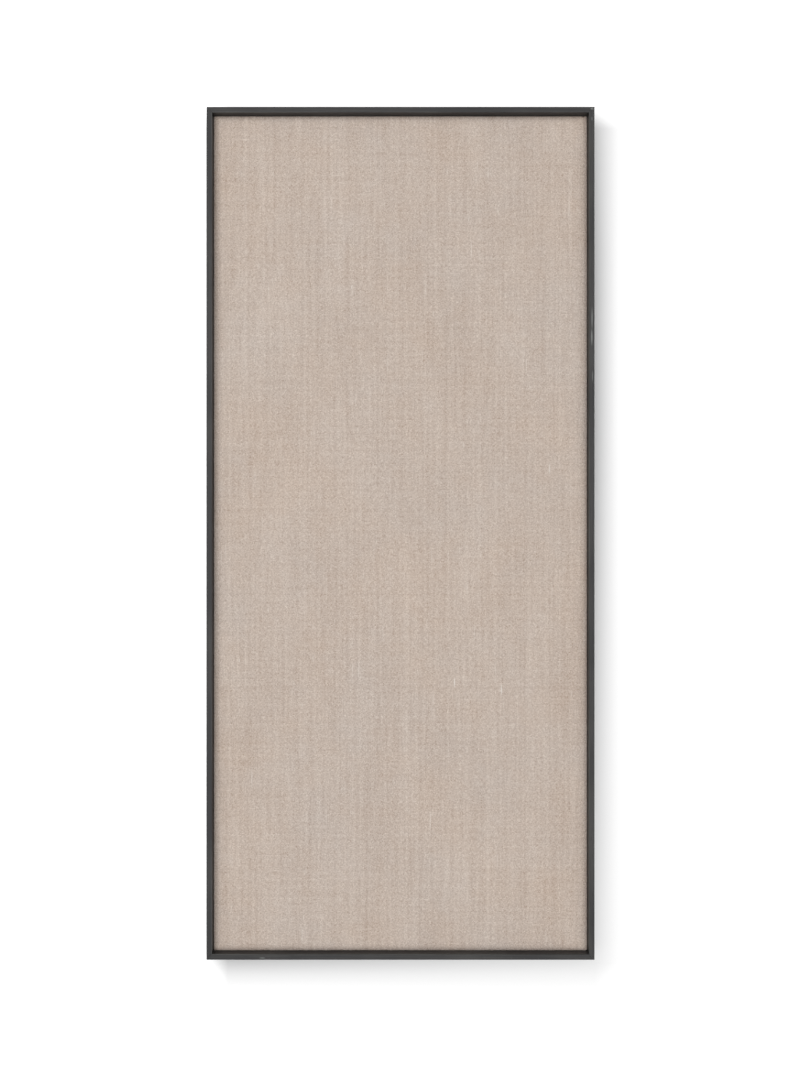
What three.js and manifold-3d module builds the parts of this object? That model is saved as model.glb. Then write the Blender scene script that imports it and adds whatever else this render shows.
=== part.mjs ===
// A tall, slim pinboard that hangs on a wall: a linen-covered panel set back in a thin, mitred frame of
// black-stained wood. Millimetres, +Z up. The front faces -Y and the wall is the plane y = 0. The origin
// is the middle of the board's outline, on the wall. Left and right are as seen from the front.
import * as THREE from "three";
import { mergeVertices } from "three/addons/utils/BufferGeometryUtils.js";
import Module from "manifold-3d";

// Outline of the board, and how far its bumpers and hangers hold it off the wall
const boardWidth = 455;
const boardHeight = 1000;
const wallGap = 4.5;

// Frame moulding, an L in section: a thin wall that shows from the front, and a foot behind the panel
const mouldingDepth = 27;
const mouldingWall = 6.5;
const footWidth = 22;
const footThickness = 4.5;
const easedEdge = 0.6;
const mitreGap = 0.2;

// Panel: softboard glued to a hardboard back, wrapped in linen. The softboard's front edges are rounded
// well over, so that the linen falls away softly towards the frame.
const coreThickness = 7;
const coreCrownWidth = 9;
const coreCrownDrop = 3.3;
const backingThickness = 3;
const boardEdgeRound = 1.2;
const boardCornerEase = 0.8;
const linenThickness = 0.7;
const hemWidth = 32;
const panelPlay = 0.4;
const clothGap = 0.3;
const glueLine = 0.1;

// Screws: countersunk ones hold the panel on the foot, pan-head ones of the same thread the hangers
const screwLength = 12;
const screwShankRadius = 1.5;
const screwPointLength = 3;
const screwHeadRadius = 2.9;
const screwHeadHeight = 1.7;
const screwHeadSink = 0.2;
const panHeadHeight = 1.6;
const panHeadEdgeHeight = 0.7;
const panHeadCrownRadius = 1.9;
const crossSlotLength = 3.4;
const crossSlotWidth = 0.8;
const crossSlotDepth = 0.9;
const fastenerPlay = 0.3;
const stileScrewShares = { lower: -0.42, middle: 0, upper: 0.42 };
const railScrewShares = { middle: 0 };

// V-shaped corner nails, driven into each mitre from behind: a tall one in the wall, a low one in the foot
const nailThickness = 0.6;
const nailWing = 5;
const nailHeight = 9;
const nailSink = 0.3;
const nailCover = 1.1;
const outerNailShare = 0.4;
const innerNailShare = 0.55;

// Staples that hold the folded hem to the hardboard
const stapleCrown = 10;
const stapleWireWidth = 1.2;
const stapleWireThickness = 0.6;
const stapleBite = 2.2;
const staplesPerStile = 8;
const staplesPerRail = 4;

// Strap hangers: a strap curled round the bar of a D-shaped ring, which swings freely
const hangerHeightShare = 0.33;
const strapThickness = 0.8;
const strapWidth = 10;
const strapEnd = 6;
const strapScrewSpacing = 10;
const strapScrewClearance = 2.9;
const curlTurn = THREE.MathUtils.degToRad(205);
const ringWireRadius = 1;
const ringPlay = 0.35;
const ringArmSpacing = 14.4;
const ringArmLength = 3;
const ringBendRadius = 1.6;
const ringEndGap = 0.5;

// Rubber bumpers behind the lower corners
const bumperRadius = 6;
const bumperFaceRadius = 5;
const bumperHeight = 30;

// One overrun serves every cut
const cutOverrun = 2;

// Counts of edges. An arc drawn in an outline gets twice its count.
const roundSides = 12;
const easedSteps = 3;
const crownSteps = 4;
const cornerSteps = 1;
const curlSteps = 6;
const wireSteps = 4;
const ringSteps = 44;

// Planes across the board's depth, from the wall forwards
const frameBack = -wallGap;
const frameFront = frameBack - mouldingDepth;
const footFront = frameBack - footThickness;
const panelBack = footFront - clothGap;
const backingBack = panelBack - linenThickness - clothGap;
const backingFront = backingBack - backingThickness;
const coreBack = backingFront - glueLine;
const coreFront = coreBack - coreThickness;
const panelFront = coreFront - clothGap - linenThickness;

// Outlines: the linen-covered panel nearly fills the frame, and the boards in it are smaller by the cloth
const panelWidth = boardWidth - 2 * (mouldingWall + panelPlay);
const panelHeight = boardHeight - 2 * (mouldingWall + panelPlay);
const clothBuild = clothGap + linenThickness;
const coreWidth = panelWidth - 2 * clothBuild;
const coreHeight = panelHeight - 2 * clothBuild;

// Screws and hangers stand on the middle of the foot, and staples in the strip of hem that it leaves bare
const fixingInset = (mouldingWall + footWidth) / 2;
const hemEdge = mouldingWall + panelPlay + hemWidth;
const stapleInset = (footWidth + hemEdge) / 2;

// Faces that the screws' heads lie in or on
const countersunkTop = frameBack - screwHeadSink;
const strapFace = frameBack + strapThickness;

const wasm = await Module();
wasm.setup();

const stainedWood = material("black-stained wood", 0x4a4948, 0.6, 0);
const linen = material("natural linen", 0xc0b1a5, 0.95, 0);
const softboard = material("wood-fibre softboard", 0xa98a63, 0.95, 0);
const hardboard = material("hardboard", 0x6d4f37, 0.7, 0);
const zincedSteel = material("zinc-plated steel", 0xb7babd, 0.35, 1);
const nailSteel = material("bright steel", 0x9a9c9e, 0.4, 1);
const rubber = material("black rubber", 0x232323, 0.85, 0);

function material(name, color, roughness, metalness) {
  return new THREE.MeshStandardMaterial({ name, color, roughness, metalness });
}

function piece(name, geometry, surface) {
  const mesh = new THREE.Mesh(geometry, surface.clone());
  mesh.name = name;
  return mesh;
}

// Solids for cutting one shape by another
function solidFrom(geometry) {
  const bare = geometry.clone();
  bare.deleteAttribute("normal");
  bare.deleteAttribute("uv");
  const merged = mergeVertices(bare);
  const vertProperties = merged.attributes.position.array;
  const triVerts = new Uint32Array(merged.index.array);
  return new wasm.Manifold(new wasm.Mesh({ numProp: 3, vertProperties, triVerts }));
}

function geometryFrom(solid) {
  const mesh = solid.getMesh();
  const positions = new Float32Array(mesh.vertProperties);
  const geometry = new THREE.BufferGeometry();
  geometry.setAttribute("position", new THREE.BufferAttribute(positions, 3));
  geometry.setIndex(new THREE.BufferAttribute(mesh.triVerts, 1));
  geometry.computeVertexNormals();
  return geometry;
}

function cut(geometry, cutters) {
  const left = cutters.reduce((solid, cutter) => solid.subtract(solidFrom(cutter)), solidFrom(geometry));
  return geometryFrom(left);
}

function overlapOf(first, second) {
  return geometryFrom(solidFrom(first).intersect(solidFrom(second)));
}

// A turned shape about the Y axis, from points listed from the wall forwards
function turned(points) {
  const profile = points.map(([radius, y]) => new THREE.Vector2(radius, y));
  return new THREE.LatheGeometry(profile.reverse(), roundSides);
}

function block(width, back, front, height) {
  const geometry = new THREE.BoxGeometry(width, back - front, height);
  return geometry.translate(0, (back + front) / 2, 0);
}

// A flat outline, drawn as seen from the front, that runs from one plane to another
function prism(outline, back, front, curveSegments = 1) {
  const depth = back - front;
  const geometry = new THREE.ExtrudeGeometry(outline, { depth, bevelEnabled: false, curveSegments });
  return geometry.rotateX(Math.PI / 2).translate(0, back, 0);
}

// The four sides. What is laid out on the left side reaches its own by a turn about Y.
const sides = {
  left: { turn: 0, distance: boardWidth / 2, length: boardHeight, screwShares: stileScrewShares },
  top: { turn: Math.PI / 2, distance: boardHeight / 2, length: boardWidth, screwShares: railScrewShares },
  right: { turn: Math.PI, distance: boardWidth / 2, length: boardHeight, screwShares: stileScrewShares },
  bottom: { turn: -Math.PI / 2, distance: boardHeight / 2, length: boardWidth, screwShares: railScrewShares },
};

// Moves a shape from the origin to a distance in from a side's outer edge and along that side
function placeOn(side, inset, along, geometry) {
  const { turn, distance } = sides[side];
  return geometry.translate(inset - distance, 0, along).rotateY(turn);
}

// The turn stands the right side upside down, so heights there are measured the other way
function alongFor(side, height) {
  return side === "right" ? -height : height;
}

// Screws
function countersunkOutline(play) {
  return [
    [screwHeadRadius + play, countersunkTop],
    [screwShankRadius + play, countersunkTop - screwHeadHeight - play],
    [screwShankRadius + play, countersunkTop - screwLength + screwPointLength - play],
    [0, countersunkTop - screwLength - play],
  ];
}

function countersunkScrew() {
  const shape = turned([[0, countersunkTop], ...countersunkOutline(0)]);
  return cut(shape, crossRecess(countersunkTop));
}

function countersunkHole() {
  const mouth = countersunkTop + cutOverrun;
  return turned([[0, mouth], [screwHeadRadius + fastenerPlay, mouth], ...countersunkOutline(fastenerPlay)]);
}

function panHeadScrew() {
  const top = strapFace + panHeadHeight;
  const shape = turned([
    [0, top],
    [panHeadCrownRadius, top],
    [screwHeadRadius, strapFace + panHeadEdgeHeight],
    [screwHeadRadius, strapFace],
    [screwShankRadius, strapFace],
    [screwShankRadius, strapFace - screwLength + screwPointLength],
    [0, strapFace - screwLength],
  ]);
  return cut(shape, crossRecess(top));
}

function panHeadHole() {
  const radius = screwShankRadius + fastenerPlay;
  const mouth = strapFace + cutOverrun;
  const end = strapFace - screwLength - fastenerPlay;
  return turned([[0, mouth], [radius, mouth], [radius, end], [0, end]]);
}

function crossRecess(top) {
  const mouth = top + cutOverrun;
  const floor = top - crossSlotDepth;
  return [
    block(crossSlotLength, mouth, floor, crossSlotWidth),
    block(crossSlotWidth, mouth, floor, crossSlotLength),
  ];
}

function panelScrewPlaces() {
  return Object.entries(sides).flatMap(([side, { length, screwShares }]) => {
    return Object.entries(screwShares).map(([name, share]) => {
      return { side, name, along: alongFor(side, share * length) };
    });
  });
}

// Hangers are laid out downwards from the ring's axis
const ringReach = ringArmLength + ringArmSpacing / 2 + ringWireRadius;
const upperScrewDrop = ringReach + screwHeadRadius + strapScrewClearance;
const strapScrewDrops = { upper: upperScrewDrop, lower: upperScrewDrop + strapScrewSpacing };
const strapLength = strapScrewDrops.lower + strapEnd;
const hangerHeight = hangerHeightShare * boardHeight;

function hangerScrewPlaces(side) {
  return Object.entries(strapScrewDrops).map(([name, drop]) => {
    return { side, name, along: alongFor(side, hangerHeight - drop) };
  });
}

const panelHoles = panelScrewPlaces().map(({ side, along }) => {
  return placeOn(side, fixingInset, along, countersunkHole());
});
const hangerHoles = [...hangerScrewPlaces("left"), ...hangerScrewPlaces("right")].map(({ side, along }) => {
  return placeOn(side, fixingInset, along, panHeadHole());
});
const screwHoles = [...panelHoles, ...hangerHoles];

function panelScrews() {
  return panelScrewPlaces().map(({ side, name, along }) => {
    const shape = placeOn(side, fixingInset, along, countersunkScrew());
    return piece(side + "_panel_screw_" + name, shape, zincedSteel);
  });
}

function hangerScrews(side) {
  return hangerScrewPlaces(side).map(({ name, along }) => {
    const shape = placeOn(side, fixingInset, along, panHeadScrew());
    return piece(side + "_hanger_screw_" + name, shape, zincedSteel);
  });
}

// Corner nails: each stands on a mitre, with one wing in either length of moulding
const nailSizes = {
  outer: { inset: outerNailShare * mouldingWall, height: nailHeight },
  inner: { inset: innerNailShare * footWidth, height: footThickness - nailCover },
};

const corners = {
  lower_left: { turn: 0, x: -boardWidth / 2, z: -boardHeight / 2 },
  upper_left: { turn: Math.PI / 2, x: -boardWidth / 2, z: boardHeight / 2 },
  upper_right: { turn: Math.PI, x: boardWidth / 2, z: boardHeight / 2 },
  lower_right: { turn: -Math.PI / 2, x: boardWidth / 2, z: -boardHeight / 2 },
};

function nailShape({ inset, height }, back, play) {
  const near = inset - play;
  const inner = inset + nailThickness + play;
  const far = inset + nailWing + play;
  const outline = new THREE.Shape();
  outline.moveTo(near, near);
  outline.lineTo(far, near);
  outline.lineTo(far, inner);
  outline.lineTo(inner, inner);
  outline.lineTo(inner, far);
  outline.lineTo(near, far);
  return prism(outline, back, frameBack - height - play);
}

function atCorner({ turn, x, z }, geometry) {
  return geometry.rotateY(turn).translate(x, 0, z);
}

function cornerNails() {
  return Object.entries(corners).flatMap(([corner, place]) => {
    return Object.entries(nailSizes).map(([name, size]) => {
      const shape = atCorner(place, nailShape(size, frameBack - nailSink, 0));
      return piece(corner + "_v_nail_" + name, shape, nailSteel);
    });
  });
}

const nailSlots = Object.values(corners).flatMap((place) => {
  return Object.values(nailSizes).map((size) => {
    return atCorner(place, nailShape(size, frameBack + cutOverrun, fastenerPlay));
  });
});

// Frame: four lengths of one moulding
function mouldingSection() {
  const section = new THREE.Shape();
  section.moveTo(easedEdge, frameFront);
  section.lineTo(mouldingWall - easedEdge, frameFront);
  section.quadraticCurveTo(mouldingWall, frameFront, mouldingWall, frameFront + easedEdge);
  section.lineTo(mouldingWall, footFront);
  section.lineTo(footWidth - easedEdge, footFront);
  section.quadraticCurveTo(footWidth, footFront, footWidth, footFront + easedEdge);
  section.lineTo(footWidth, frameBack - easedEdge);
  section.quadraticCurveTo(footWidth, frameBack, footWidth - easedEdge, frameBack);
  section.lineTo(easedEdge, frameBack);
  section.quadraticCurveTo(0, frameBack, 0, frameBack - easedEdge);
  section.lineTo(0, frameFront + easedEdge);
  section.quadraticCurveTo(0, frameFront, easedEdge, frameFront);
  return section;
}

// One length of moulding, laid out as the left side. Each end is mitred: it stands back by as much as
// the point is in from the outer edge.
function mouldingLength(length) {
  const geometry = new THREE.ExtrudeGeometry(mouldingSection(), {
    depth: length,
    bevelEnabled: false,
    curveSegments: easedSteps,
  });
  const position = geometry.attributes.position;
  const endGap = mitreGap * Math.SQRT1_2;
  for (let i = 0; i < position.count; i += 1) {
    const end = position.getZ(i) > length / 2 ? 1 : -1;
    position.setZ(i, end * (length / 2 - position.getX(i) - endGap));
  }
  return geometry;
}

function frameMember(name, side) {
  const whole = placeOn(side, 0, 0, mouldingLength(sides[side].length));
  return piece(name, cut(whole, [...screwHoles, ...nailSlots]), stainedWood);
}

function frame() {
  return [
    frameMember("left_stile", "left"),
    frameMember("top_rail", "top"),
    frameMember("right_stile", "right"),
    frameMember("bottom_rail", "bottom"),
  ];
}

// Staples: the crown lies on the hem, and the legs go through it into the hardboard
function staplePlaces() {
  return Object.entries(sides).flatMap(([side, { length }]) => {
    const count = length === boardHeight ? staplesPerStile : staplesPerRail;
    return Array.from({ length: count }, (_, i) => {
      return { side, number: i + 1, along: ((i + 0.5) / count - 0.5) * length };
    });
  });
}

const stapleSeat = panelBack + clothGap;
const stapleTip = backingBack - stapleBite;

function stapleShape() {
  const back = stapleSeat + stapleWireThickness;
  const gap = stapleCrown - 2 * stapleWireThickness;
  const outside = block(stapleWireWidth, back, stapleTip, stapleCrown);
  return cut(outside, [block(stapleWireWidth + cutOverrun, stapleSeat, stapleTip - cutOverrun, gap)]);
}

function stapleLegHoles() {
  const width = stapleWireWidth + 2 * fastenerPlay;
  const height = stapleWireThickness + 2 * fastenerPlay;
  const legOffset = (stapleCrown - stapleWireThickness) / 2;
  return staplePlaces().flatMap(({ side, along }) => {
    return [-legOffset, legOffset].map((offset) => {
      const hole = block(width, panelBack + cutOverrun, stapleTip - fastenerPlay, height);
      return placeOn(side, stapleInset, along + offset, hole);
    });
  });
}

function staples() {
  return staplePlaces().map(({ side, number, along }) => {
    return piece(side + "_staple_" + number, placeOn(side, stapleInset, along, stapleShape()), zincedSteel);
  });
}

const legHoles = stapleLegHoles();

// Panel
function roundedRectangle(width, height, radius) {
  const shape = new THREE.Shape();
  const right = width / 2 - radius;
  const top = height / 2 - radius;
  shape.absarc(right, -top, radius, -Math.PI / 2, 0);
  shape.absarc(right, top, radius, 0, Math.PI / 2);
  shape.absarc(-right, top, radius, Math.PI / 2, Math.PI);
  shape.absarc(-right, -top, radius, Math.PI, 1.5 * Math.PI);
  return shape;
}

function rectangle(width, height) {
  const shape = new THREE.Shape();
  shape.moveTo(-width / 2, -height / 2);
  shape.lineTo(width / 2, -height / 2);
  shape.lineTo(width / 2, height / 2);
  shape.lineTo(-width / 2, height / 2);
  return shape;
}

// A slab with rounded edges. They lie outside the outline and the two planes, by a width and a depth.
function roundedSlab(outline, back, front, roundWidth, roundDepth, bevelSegments) {
  const geometry = new THREE.ExtrudeGeometry(outline, {
    depth: back - front,
    bevelThickness: roundDepth,
    bevelSize: roundWidth,
    bevelSegments,
    curveSegments: cornerSteps,
  });
  return geometry.rotateX(Math.PI / 2).translate(0, back, 0);
}

// The boards' slab, or one that lies outside it by an equal step all round, with rounded edges to match
function panelSlab(step) {
  const round = boardEdgeRound + step;
  const inner = roundedRectangle(
    coreWidth - 2 * boardEdgeRound,
    coreHeight - 2 * boardEdgeRound,
    boardCornerEase,
  );
  const eased = roundedSlab(inner, backingBack - boardEdgeRound, coreFront - step, round, round, easedSteps);
  const crowned = roundedSlab(
    rectangle(coreWidth - 2 * coreCrownWidth, coreHeight - 2 * coreCrownWidth),
    backingBack + step,
    coreFront + coreCrownDrop,
    coreCrownWidth + step,
    coreCrownDrop + step,
    crownSteps,
  );
  return overlapOf(eased, crowned);
}

function linenCover() {
  const openWidth = panelWidth - 2 * hemWidth;
  const openHeight = panelHeight - 2 * hemWidth;
  const opening = block(openWidth, panelBack + cutOverrun, backingFront, openHeight);
  const holes = [panelSlab(clothGap), opening, ...screwHoles, ...legHoles];
  return piece("linen_cover", cut(panelSlab(clothBuild), holes), linen);
}

function boardLayer(back, front, holes) {
  const layer = overlapOf(panelSlab(0), block(boardWidth, back, front, boardHeight));
  return cut(layer, holes);
}

function softboardCore() {
  return piece("softboard_core", boardLayer(coreBack, coreFront - cutOverrun, screwHoles), softboard);
}

function backingBoard() {
  const holes = [...screwHoles, ...legHoles];
  return piece("backing_board", boardLayer(backingBack + cutOverrun, backingFront, holes), hardboard);
}

// Hanger strap, drawn about the ring's axis
const curlInnerRadius = ringWireRadius + ringPlay;
const curlOuterRadius = curlInnerRadius + strapThickness;

// Seen from its edge, with up along the first axis and away from the board along the second
function strapSection() {
  const section = new THREE.Shape();
  section.moveTo(-strapLength, -curlOuterRadius);
  section.lineTo(0, -curlOuterRadius);
  section.absarc(0, 0, curlOuterRadius, -Math.PI / 2, curlTurn, false);
  section.absarc(0, 0, curlInnerRadius, curlTurn, -Math.PI / 2, true);
  section.lineTo(-strapLength, -curlInnerRadius);
  return section;
}

// Seen from the front, with a round lower end
function strapOutline() {
  const half = strapWidth / 2;
  const outline = new THREE.Shape();
  outline.moveTo(half, curlOuterRadius + cutOverrun);
  outline.lineTo(-half, curlOuterRadius + cutOverrun);
  outline.absarc(0, half - strapLength, half, Math.PI, 2 * Math.PI);
  return outline;
}

function strapShape() {
  const depth = strapWidth + 2 * cutOverrun;
  const curveSegments = curlSteps;
  const bent = new THREE.ExtrudeGeometry(strapSection(), { depth, bevelEnabled: false, curveSegments });
  bent.translate(0, 0, -depth / 2).rotateY(-Math.PI / 2);
  const reach = curlOuterRadius + cutOverrun;
  return overlapOf(bent, prism(strapOutline(), reach, -reach, curveSegments));
}

// The ring's wire, from one end in the curl, round the D and back to the other
function ringPath() {
  const arm = ringArmSpacing / 2;
  const at = (x, z) => new THREE.Vector3(x, 0, z);
  const path = new THREE.CurvePath();
  path.add(new THREE.LineCurve3(at(ringEndGap / 2, 0), at(arm - ringBendRadius, 0)));
  path.add(new THREE.QuadraticBezierCurve3(at(arm - ringBendRadius, 0), at(arm, 0), at(arm, -ringBendRadius)));
  path.add(new THREE.LineCurve3(at(arm, -ringBendRadius), at(arm, -ringArmLength)));
  path.add(halfRound(arm, -ringArmLength));
  path.add(new THREE.LineCurve3(at(-arm, -ringArmLength), at(-arm, -ringBendRadius)));
  path.add(new THREE.QuadraticBezierCurve3(at(-arm, -ringBendRadius), at(-arm, 0), at(ringBendRadius - arm, 0)));
  path.add(new THREE.LineCurve3(at(ringBendRadius - arm, 0), at(-ringEndGap / 2, 0)));
  return path;
}

// The round lower half of the D
function halfRound(radius, middle) {
  const curve = new THREE.Curve();
  curve.getPoint = (t, target = new THREE.Vector3()) => {
    const angle = t * Math.PI;
    return target.set(radius * Math.cos(angle), 0, middle - radius * Math.sin(angle));
  };
  return curve;
}

function ringShape() {
  const section = new THREE.Shape().absarc(0, 0, ringWireRadius, 0, 2 * Math.PI);
  const extrudePath = ringPath();
  return new THREE.ExtrudeGeometry(section, { steps: ringSteps, extrudePath, curveSegments: wireSteps });
}

function hanger(side) {
  const ringAxis = frameBack + curlOuterRadius;
  const atHanger = (geometry) => {
    const x = fixingInset - sides[side].distance;
    return geometry.translate(side === "right" ? -x : x, ringAxis, hangerHeight);
  };
  return [
    piece(side + "_hanger_strap", cut(atHanger(strapShape()), hangerHoles), zincedSteel),
    piece(side + "_hanger_ring", atHanger(ringShape()), zincedSteel),
    ...hangerScrews(side),
  ];
}

// Bumpers
function bumper(side) {
  const shape = turned([[0, 0], [bumperFaceRadius, 0], [bumperRadius, frameBack], [0, frameBack]]);
  const along = alongFor(side, bumperHeight - boardHeight / 2);
  return piece(side + "_bumper", placeOn(side, fixingInset, along, shape), rubber);
}

const pinboard = new THREE.Group();
pinboard.add(...frame(), ...cornerNails());
pinboard.add(linenCover(), softboardCore(), backingBoard(), ...staples(), ...panelScrews());
pinboard.add(...hanger("left"), ...hanger("right"), bumper("left"), bumper("right"));

export default pinboard;
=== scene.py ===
# A tall, slim pinboard on a wall: natural linen stretched over a board, set back in a thin mitred frame
# of black-stained wood. The front faces -Y, the wall is the plane y = 0 and Z is up.
import math

import bmesh
import bpy
from mathutils import Matrix, Vector, noise


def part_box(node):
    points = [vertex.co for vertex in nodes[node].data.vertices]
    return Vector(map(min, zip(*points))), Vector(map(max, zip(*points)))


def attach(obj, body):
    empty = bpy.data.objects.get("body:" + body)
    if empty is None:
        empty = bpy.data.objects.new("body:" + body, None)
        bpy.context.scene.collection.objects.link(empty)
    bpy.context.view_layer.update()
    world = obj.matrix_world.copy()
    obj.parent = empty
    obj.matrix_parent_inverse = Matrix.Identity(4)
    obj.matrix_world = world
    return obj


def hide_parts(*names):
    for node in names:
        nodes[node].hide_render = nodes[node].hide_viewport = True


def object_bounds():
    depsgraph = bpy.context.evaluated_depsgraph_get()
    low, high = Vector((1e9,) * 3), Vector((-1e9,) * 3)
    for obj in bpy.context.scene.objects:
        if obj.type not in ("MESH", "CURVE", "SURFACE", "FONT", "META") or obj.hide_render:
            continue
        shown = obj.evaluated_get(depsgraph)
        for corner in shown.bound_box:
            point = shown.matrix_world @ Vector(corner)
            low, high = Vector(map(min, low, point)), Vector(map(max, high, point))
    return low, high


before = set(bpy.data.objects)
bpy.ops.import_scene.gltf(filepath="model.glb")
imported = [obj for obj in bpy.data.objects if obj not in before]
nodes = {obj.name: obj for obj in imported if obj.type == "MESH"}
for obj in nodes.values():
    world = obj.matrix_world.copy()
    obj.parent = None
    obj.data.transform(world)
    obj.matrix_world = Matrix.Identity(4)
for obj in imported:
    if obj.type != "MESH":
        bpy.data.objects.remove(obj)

mm = 0.001
touch = 0.01 * mm                # what lies this near to a plane counts as on it
cadLow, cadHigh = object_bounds()
sideNames = ("left", "right")


# Nodes and materials
def fromHex(code):
    # An sRGB hex value as the linear colour that a shader works with
    channels = [int(code[i:i + 2], 16) / 255 for i in (1, 3, 5)]
    linear = [c / 12.92 if c <= 0.04045 else ((c + 0.055) / 1.055) ** 2.4 for c in channels]
    return (*linear, 1)


def addNode(tree, kind, inputs=(), **settings):
    # inputs: what goes to the sockets in turn, or by name. A node there stands for its first output
    node = tree.nodes.new("ShaderNode" + kind)
    for name, value in settings.items():
        setattr(node, name, value)
    sockets = inputs if isinstance(inputs, dict) else dict(enumerate(inputs))
    for socket, value in sockets.items():
        if isinstance(value, bpy.types.Node):
            value = value.outputs[0]
        if isinstance(value, bpy.types.NodeSocket):
            tree.links.new(value, node.inputs[socket])
        else:
            node.inputs[socket].default_value = value
    return node


def newMaterial(name, surface):
    # surface: the values set on the shader's own sockets
    material = bpy.data.materials.new(name)
    material.use_nodes = True
    tree = material.node_tree
    shader = tree.nodes["Principled BSDF"]
    for socket, value in surface.items():
        shader.inputs[socket].default_value = value
    return material, tree, shader


def dress(tree, shader, colour, bump, shine=None):
    for node, socket in ((colour, "Base Color"), (bump, "Normal"), (shine, "Roughness")):
        if node:
            tree.links.new(node.outputs[0], shader.inputs[socket])


noiseRange = (0.3, 0.7)          # nearly all values of a noise lie between these


# Pine, sanded, stained black and waxed: the stain fills the soft early wood and leaves fine lengthwise
# lines, the wax gives a low satin shine, and handling has rubbed the stain thin in a few places. Along the
# front face's long edges a paler band is painted that is partly that wear and partly a painted highlight on
# the eased edges
stain = {
    "deep": "#1f1f20",
    "thin": "#393837",
    "pore": "#121212",
    # the colour of worn stain, also used for the painted highlight along the front face's edges
    "wearAndHighlight": "#777a78",
    "lineWidth": 1.3 * mm,
    "lineLength": 90 * mm,
    "poreWidth": 0.45 * mm,
    "poreLength": 11 * mm,
    "poreRange": (0.6, 0.7),     # noise values where a pore begins and is full
    "poreShare": 0.65,           # how dark a full pore gets
    "poreSink": 0.8,             # how deep, as a share of the grain's relief
    "cloudSize": 110 * mm,
    "cloudShare": 1.1,
    "cloudMiddle": 0.56,
    "toneRange": (0.32, 0.68),   # from the deep stain to the thin
    "roughness": (0.42, 0.58),
    "grainDepth": 0.05 * mm,
    "faceWidth": 6.5 * mm,       # the moulding's front face
    "arrisWidth": 0.9 * mm,      # how far from an edge of that face the stain is worn and a highlight is painted
    "wearAndHighlightLength": 150 * mm,
    "wearAndHighlightRange": (0.42, 0.62),
    "wearAndHighlightShare": 0.35,           # how far the stain is gone where an edge is worn and painted lighter as a highlight
    "frontSkin": 1.5 * mm,       # what lies this near to the front counts as the front face
    "grainBreak": (0.35, 0.6, 0.35),     # noise values that break up the wear and painted highlight, and what the first keeps
}

# Rubbed spots: the middle of each, and how far it reaches across and up
rubbedSpots = {
    "right stile, upper": ((224.5 * mm, 252 * mm), (0.6 * mm, 11 * mm)),
    "right stile, lower": ((224.2 * mm, 230 * mm), (0.9 * mm, 8 * mm)),
    "right stile, faint": ((225.2 * mm, 184 * mm), (0.4 * mm, 6 * mm)),
    "upper right corner": ((224.6 * mm, 497.6 * mm), (1.7 * mm, 1.2 * mm)),
    "below that corner": ((224.3 * mm, 486 * mm), (0.7 * mm, 2.2 * mm)),
    "bottom rail": ((-162 * mm, -497.8 * mm), (3.2 * mm, 0.7 * mm)),
}

# How much paler than the right stile each length of moulding took the stain
paler = {"left_stile": -0.11, "right_stile": 0, "top_rail": -0.05, "bottom_rail": 0.02}


def stainedWood(name, alongX, tone):
    material, tree, shader = newMaterial(name, {"IOR": 1.5, "Specular IOR Level": 0.3})
    place = addNode(tree, "TexCoord").outputs["Object"]
    across, along = 1 / stain["lineWidth"], 1 / stain["lineLength"]
    fine, dash = 1 / stain["poreWidth"], 1 / stain["poreLength"]
    lineScale = (along, across, across) if alongX else (across, across, along)
    poreScale = (dash, fine, fine) if alongX else (fine, fine, dash)
    lineMap = addNode(tree, "Mapping", {"Vector": place, "Scale": lineScale})
    poreMap = addNode(tree, "Mapping", {"Vector": place, "Scale": poreScale})
    lines = addNode(tree, "TexNoise", {"Vector": lineMap, "Scale": 1, "Detail": 3, "Roughness": 0.6})
    dashes = addNode(tree, "TexNoise", {"Vector": poreMap, "Scale": 1, "Detail": 1})
    clouds = addNode(tree, "TexNoise", {"Vector": place, "Scale": 1 / stain["cloudSize"], "Detail": 2})

    lift = tone - stain["cloudMiddle"]
    toned = addNode(tree, "Math", [clouds, stain["cloudShare"], lift], operation="MULTIPLY_ADD")
    toned = addNode(tree, "Math", [toned, lines], operation="ADD")
    toned = addNode(tree, "MapRange", [toned, *stain["toneRange"]])
    colour = addNode(tree, "MixRGB", [toned, fromHex(stain["deep"]), fromHex(stain["thin"])])
    pores = addNode(tree, "MapRange", [dashes, *stain["poreRange"], 0, stain["poreShare"]])
    colour = addNode(tree, "MixRGB", [pores, colour, fromHex(stain["pore"])])

    wearAndHighlight = wearAndHighlightAmount(tree, place, lines, alongX)
    colour = addNode(tree, "MixRGB", [wearAndHighlight, colour, fromHex(stain["wearAndHighlight"])])
    shine = addNode(tree, "MapRange", [lines, *noiseRange, *stain["roughness"]])
    sunk = addNode(tree, "Math", [pores, stain["poreSink"]], operation="MULTIPLY")
    height = addNode(tree, "Math", [lines, sunk], operation="SUBTRACT")
    bump = addNode(tree, "Bump", {"Height": height, "Distance": stain["grainDepth"], "Strength": 0.5})
    dress(tree, shader, colour, bump, shine)
    return material


ovalEdge = (1.8, 0.1)            # squared distance, in reaches, where an oval begins and where it is full


def ovals(tree, across, up, spots):
    # 1 within each soft oval and 0 outside. spots: the middle of each, and how far it reaches across and up
    amount = 0
    for middle, reaches in spots.values():
        squares = []
        for at, start, reach in zip((across, up), middle, reaches):
            off = addNode(tree, "Math", [at, start], operation="SUBTRACT")
            off = addNode(tree, "Math", [off, reach], operation="DIVIDE")
            squares.append(addNode(tree, "Math", [off, 2], operation="POWER"))
        away = addNode(tree, "Math", squares, operation="ADD")
        oval = addNode(tree, "MapRange", [away, *ovalEdge])
        amount = addNode(tree, "Math", [amount, oval], operation="MAXIMUM")
    return amount


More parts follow.
